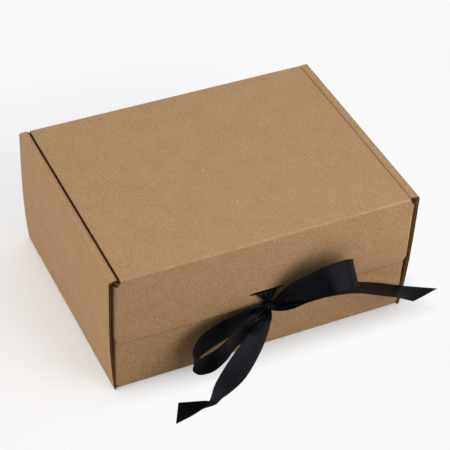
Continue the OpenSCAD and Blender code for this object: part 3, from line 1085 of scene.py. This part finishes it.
# %% A stretch of ribbon
satin_t = 0.3*mm
sharp_pleat = 60
usual_crown = 0.6


def ribbon(name, node, edge_a, edge_b, pleats=2.5, share=0.8, steps=8, crowns=None,
           open_width=0.8*ribbon_w):
    """A stretch of ribbon between two edges, pleated where they are close together near the knot."""
    crowns = crowns or [usual_crown]*len(edge_a)
    points, map_points, length = pleated_rows(edge_a, edge_b, pleats, share, steps, crowns,
                                              open_width)
    row = across_steps + 1
    faces = [(i*row + k, i*row + k + 1, (i + 1)*row + k + 1, (i + 1)*row + k)
             for i in range(len(points)//row - 1) for k in range(across_steps)]
    mesh = bpy.data.meshes.new(name)
    mesh.from_pydata([tuple(p) for p in points], [], faces)
    ribbon_map = mesh.uv_layers.new(name="ribbon")
    for loop in mesh.loops:
        ribbon_map.data[loop.index].uv = map_points[loop.vertex_index]
    obj = bpy.data.objects.new(name, mesh)
    bpy.context.collection.objects.link(obj)
    mesh.materials.append(satin_face)
    mesh.materials.append(satin_reverse)
    start_piece()
    obj.select_set(True)
    apply_modifier(obj, "SOLIDIFY", thickness=satin_t, offset=0, material_offset=1)
    bpy.ops.object.shade_smooth_by_angle(angle=math.radians(sharp_pleat))
    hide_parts(node)
    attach(obj, "flap")
    return obj, length


print("satin", satin_t/mm, "mm thick")

# %% [markdown]
# These are the edges of the loops and tails, in millimetres, from the knot outwards. Fewer points
# would make the folds too even, and a mesh drawn point by point would have thousands. Each loop goes
# out, turns at its end and comes back to the knot. The left tail bulges more than the others, so
# the height of its crown is given at each of its points.

# %% Edges of the loops and tails
right_loop_top = [(3, -107.8, 54), (9, -109.5, 66), (14.5, -112, 75), (27.5, -116, 83.5),
                  (42, -118, 89.5), (59, -116, 88.5), (68, -113, 84), (71, -111, 81.5),
                  (69, -109.5, 80), (60, -111.5, 83), (44, -113.5, 84), (30, -111.5, 78.5),
                  (17.5, -108, 70.5), (11, -106, 62), (3.5, -105, 53.5)]
right_loop_low = [(3, -108, 50.5), (12.5, -110, 53), (19.5, -114, 56.5), (32.5, -119, 59.5),
                  (45.5, -126, 66.5), (61, -127, 66), (71.5, -122.5, 61.5), (74.5, -120, 58),
                  (72.5, -118, 57.5), (62.5, -121.5, 61), (47.5, -121.5, 62), (34.5, -114.5, 58),
                  (22, -109.5, 54.5), (13, -106, 51.5), (3.5, -105, 50.3)]
right_tail_back = [(3, -104.2, 48.5), (11, -103.5, 48), (22, -103.5, 49), (38, -103.5, 50),
                   (54, -103.5, 50.5), (70, -104, 49.5), (88, -104, 44), (106.5, -104, 36),
                   (125.5, -105, 27.5), (158.5, -111.5, 18)]
right_tail_front = [(3, -107.6, 47.6), (11, -111, 46.8), (19.5, -116, 51.5), (30, -119, 56),
                    (42.5, -122, 59), (58, -124, 58.6), (75, -124, 53.5), (92, -124, 45),
                    (110, -124, 36), (127, -124, 25.5)]
left_loop_top = [(-4, -104.8, 54), (-12, -105, 55), (-30, -108.5, 54.5), (-45.5, -109, 51.5),
                 (-60, -110, 45), (-69, -114, 37), (-71, -118.5, 32), (-67, -122, 32),
                 (-62, -123, 35), (-55, -124, 39), (-47.5, -124, 44), (-40, -122, 49),
                 (-28.5, -118, 55), (-12, -110, 53.5), (-4, -107.6, 52)]
left_loop_low = [(-4, -104.8, 49.8), (-8.5, -103.5, 43), (-22, -103, 31.5), (-35, -106.5, 29),
                 (-49, -106.5, 23), (-60, -106, 15), (-67, -110, 10), (-67.5, -115, 9.5),
                 (-63.5, -119, 9.5), (-54.5, -123, 14), (-43.5, -121.5, 20), (-32.5, -116.5, 26),
                 (-20.5, -116, 33.5), (-6, -110, 42), (-3.6, -107.8, 48.6)]
left_tail_left = [(-2.6, -107.8, 46.8), (-14.5, -115, 43.5), (-26.5, -123, 44),
                  (-37.5, -129, 39), (-50, -135, 31), (-62.5, -141.5, 20), (-70.8, -149, 11.2),
                  (-81.5, -150.5, 4.5), (-100.3, -152.4, 1.4)]
left_tail_right = [(1.2, -107.8, 46.4), (0, -111, 36), (-8, -119.5, 27.5), (-20.5, -130, 20.5),
                   (-33.5, -137.5, 12), (-46.5, -140, 4), (-60, -142, 1.4), (-71.5, -138, 1.4),
                   (-89.5, -132.5, 1.4)]
left_tail_crowns = [0.6, 1.5, 3, 3, 2, 1.5, 3.5, 0.6, 0]
print("right loop has", len(right_loop_top), "points on each edge")

# %% [markdown]
# The loops and tails are the four stretches that stand out of the knot. They could be one long
# sheet, as the real ribbon is, but the knot hides where they meet, and apart each has its own length.
# All of them are gathered in the knot, which holds them.

# %% Loops and tails
stretches = [("right_loop", right_loop_top, right_loop_low, None),
             ("left_loop", left_loop_top, left_loop_low, None),
             ("right_tail", right_tail_back, right_tail_front, None),
             ("left_tail", left_tail_left, left_tail_right, left_tail_crowns)]
for name, edge_a, edge_b, crowns in stretches:
    piece, length = ribbon(name, "ribbon_" + name, edge_a, edge_b, crowns=crowns)
    print(name, round(length/mm), "mm long")

# %% [markdown]
# The throat is the short stretch that comes out of the slot and closes up to the knot, and the back
# run is the one that goes down behind the flap and comes forward under its edge. They could be left
# out, but when the flap opens both can be seen. The throat's flat length counts what lies in the slot.

# %% Throat and back run
throat_left = [(-10, -99.7, 63.4), (-9.6, -101.8, 62.9), (-6, -102.9, 58.9), (-3, -105, 56.6)]
throat_right = [(9, -99.7, 63.4), (8.6, -101.8, 62.9), (5, -102.9, 58.9), (2, -105, 56.6)]
throat, length = ribbon("throat", "ribbon_throat", throat_left, throat_right, pleats=3, share=0.6,
                        crowns=[0]*4)
print("throat", round(length/mm, 1), "mm long")

back_run_left = [(-9, -99.1, 63.2), (-9, -99.1, 57), (-8, -99.1, 52), (-6, -99.6, 50.7),
                 (-4, -101.5, 50.5)]
back_run_right = [(9, -99.1, 63.2), (9, -99.1, 57), (8, -99.1, 52), (6, -99.6, 50.7),
                  (4, -101.5, 50.5)]
back_run, length = ribbon("back_run", "ribbon_back_run", back_run_left, back_run_right, share=0,
                          crowns=[0]*5)
print("back run", round(length/mm, 1), "mm long")

# %% [markdown]
# The knot is a turn of ribbon round the gathered stretches. A torus could stand for it, but the
# ribbon's own sheet, closed to a ring, keeps the pleats and the selvedges. Its crown is negative
# because the ring's outside is the other way.

# %% Knot
knot_ring = 24
knot_half_w, knot_half_y, knot_half_z = 4, 3, 3.4
knot_crown = -1.4


def knot_edge(x):
    """A closed ring round the knot, at one edge of the wrapped ribbon."""
    turns = [math.tau*k/knot_ring for k in range(knot_ring + 1)]
    middle = knot_at/mm
    return [(middle.x + x, middle.y - knot_half_y*math.cos(t), middle.z + knot_half_z*math.sin(t))
            for t in turns]


knot, length = ribbon("knot", "ribbon_knot", knot_edge(-knot_half_w), knot_edge(knot_half_w),
                      pleats=3, share=0.25, steps=1, crowns=[knot_crown]*(knot_ring + 1),
                      open_width=ribbon_w)
print("knot", round(length/mm), "mm round")

# %% [markdown]
# ## Floor and light
# The box stands on a seamless pale floor. A curved backdrop could be modelled, but a large plane
# under a sky of its own colour looks the same. The camera sees the floor in its pale colour, and all
# other rays see a greyer one, so that it doesn't brighten the box from below.

# %% Floor
floor_colour = "#FAFAFA"
bounce_colour = "#C0C0C0"
floor_size = 12
floor_z = -0.1*mm
start_piece()
bpy.ops.mesh.primitive_plane_add(size=floor_size, location=(0, 0, floor_z))
floor = bpy.context.object
floor.name = "floor"
floor_finish, tree, shader = new_material("studio_floor")
shader.inputs["Roughness"].default_value = 0.9
shader.inputs["Specular IOR Level"].default_value = 0
ray = add_node(tree, "ShaderNodeLightPath")
paper = add_node(tree, "ShaderNodeMix",
                 {"Factor": ray.outputs["Is Camera Ray"], 6: linear(bounce_colour),
                  7: linear(floor_colour)}, data_type="RGBA")
tree.links.new(paper.outputs[2], shader.inputs["Base Color"])
floor.data.materials.append(floor_finish)
print("floor", floor_size, "m wide")

# %% [markdown]
# Lamps as wide as these shade the floor far beyond the box. More lamps could even it out, but they
# would light the box too. So the floor's shader mixes in its own even colour, by the distance from
# the box. That distance is the greater of the two ways past its sides, along X and along Y.

# %% Distance from the box
place = add_node(tree, "ShaderNodeTexCoord").outputs["Object"]
parts = add_node(tree, "ShaderNodeSeparateXYZ", {"Vector": place})
beyond = []
for axis, half_size in (("X", half_rim), ("Y", half_depth)):
    size = add_node(tree, "ShaderNodeMath", {0: parts.outputs[axis]}, operation="ABSOLUTE")
    past = add_node(tree, "ShaderNodeMath", {0: size.outputs[0], 1: half_size},
                    operation="SUBTRACT")
    beyond.append(past.outputs[0])
from_box = add_node(tree, "ShaderNodeMath", {0: beyond[0], 1: beyond[1]}, operation="MAXIMUM")
print("the box covers", round(2*half_rim/mm), "x", round(2*half_depth/mm), "mm of the floor")

# %% [markdown]
# On the lit side the shading ends close to the box. On the other sides the shadow stays beside it
# and fades farther out. A painted mask could say where, but it would have to be painted again for
# another box. Two ramps on the distance follow the box, and a third one finds the lit side.

# %% Even colour of the floor
beside_share, shadow_end = 0.3, 25*mm
fade_from, fade_to = 70*mm, 240*mm
lit_side = (0.6, -1, 0)
turn_from, turn_to = -20*mm, 30*mm

near = add_node(tree, "ShaderNodeMapRange",
                {"Value": from_box.outputs[0], "From Min": 0, "From Max": shadow_end,
                 "To Min": beside_share, "To Max": 1})
far = add_node(tree, "ShaderNodeMapRange",
               {"Value": from_box.outputs[0], "From Min": fade_from, "From Max": fade_to,
                "To Min": 0, "To Max": 1})
to_lit_side = add_node(tree, "ShaderNodeVectorMath", {0: place, 1: lit_side},
                       operation="DOT_PRODUCT")
lit = add_node(tree, "ShaderNodeMapRange",
               {"Value": to_lit_side.outputs["Value"], "From Min": turn_from, "From Max": turn_to,
                "To Min": 0, "To Max": 1})
lit_share = add_node(tree, "ShaderNodeMath",
                     {0: near.outputs["Result"], 1: lit.outputs["Result"]}, operation="MULTIPLY")
even_share = add_node(tree, "ShaderNodeMath", {0: lit_share.outputs[0], 1: far.outputs["Result"]},
                      operation="MAXIMUM")
seen_share = add_node(tree, "ShaderNodeMath",
                      {0: ray.outputs["Is Camera Ray"], 1: even_share.outputs[0]},
                      operation="MULTIPLY")
even = add_node(tree, "ShaderNodeEmission", {"Color": linear(floor_colour), "Strength": 1})
seen_floor = add_node(tree, "ShaderNodeMixShader", {"Fac": seen_share.outputs[0],
                                                    1: shader.outputs[0], 2: even.outputs[0]})
output = next(node for node in tree.nodes if node.type == "OUTPUT_MATERIAL")
tree.links.new(seen_floor.outputs[0], output.inputs["Surface"])
print("on the lit side the floor is even from", round(shadow_end/mm), "mm out")

# %% [markdown]
# Two distant lamps stand for daylight, a window at the back left and a weak one above. Area lamps
# could do it too, but a sun's light is as strong at the back of the box as at its front. Both are
# as wide as a window near by, so their shadows are soft.

# %% Daylight
daylight_colour = "#FFFDFA"
daylight_width = 70


def towards_box(lamp, place):
    """Put the lamp at a place and aim it at the box."""
    lamp.location = place
    lamp.rotation_euler = (Vector(place) - box_middle).to_track_quat("Z", "Y").to_euler()
    bpy.context.collection.objects.link(lamp)


def daylight(name, place, strength):
    """An even lamp from the direction of a place, with its width as an angle in degrees."""
    lamp = bpy.data.objects.new(name, bpy.data.lights.new(name, "SUN"))
    lamp.data.energy = strength
    lamp.data.angle = math.radians(daylight_width)
    lamp.data.color = linear(daylight_colour)[:3]
    towards_box(lamp, place)
    print(name, "has strength", strength)


daylight("top", (-0.2, 0.3, 1.4), 0.8)
daylight("back_left_window", (-0.9, 0.25, 0.5), 1.8)

# %% [markdown]
# A large softbox stands low at the front right. It lights the flap and the bow, and its wide face
# is what the satin reflects. A small lamp would be as bright, but it would draw hard dots there.

# %% Softbox
softbox_size, softbox_power = 0.8, 5.9
softbox = bpy.data.objects.new("front_softbox", bpy.data.lights.new("front_softbox", "AREA"))
softbox.data.size = softbox_size
softbox.data.energy = softbox_power
towards_box(softbox, (0.48, -0.74, 0.28))
print("softbox", softbox_size, "m wide")

# %% [markdown]
# The sky fills what the lamps leave dark. One even grey would flatten the box, so it is bright
# towards the window at the back and dim in front. The camera sees it in the floor's colour.

# %% Sky
sky_colour = "#F6F9FF"
sky_front, sky_back = 0.05, 0.6
towards_window = (-0.1, 0.95, 0.3)
window_reach = 0.8
world = bpy.data.worlds.new("studio")
bpy.context.scene.world = world
world.use_nodes = True
sky = world.node_tree
sky.nodes.clear()
ray = add_node(sky, "ShaderNodeLightPath")
seen = add_node(sky, "ShaderNodeBackground", {"Color": linear(floor_colour), "Strength": 1})
direction = add_node(sky, "ShaderNodeTexCoord").outputs["Generated"]
to_window = add_node(sky, "ShaderNodeVectorMath", {0: direction, 1: towards_window},
                     operation="DOT_PRODUCT")
brightness = add_node(sky, "ShaderNodeMapRange",
                      {"Value": to_window.outputs["Value"], "From Min": -window_reach,
                       "From Max": window_reach, "To Min": sky_front, "To Max": sky_back})
glow = add_node(sky, "ShaderNodeBackground",
                {"Color": linear(sky_colour), "Strength": brightness.outputs["Result"]})
mix = add_node(sky, "ShaderNodeMixShader",
               {"Fac": ray.outputs["Is Camera Ray"], 1: glow.outputs[0], 2: seen.outputs[0]})
add_node(sky, "ShaderNodeOutputWorld", {"Surface": mix.outputs[0]})
bpy.context.scene.view_settings.view_transform = "Standard"
print("sky", sky_front, "in front and", sky_back, "behind")
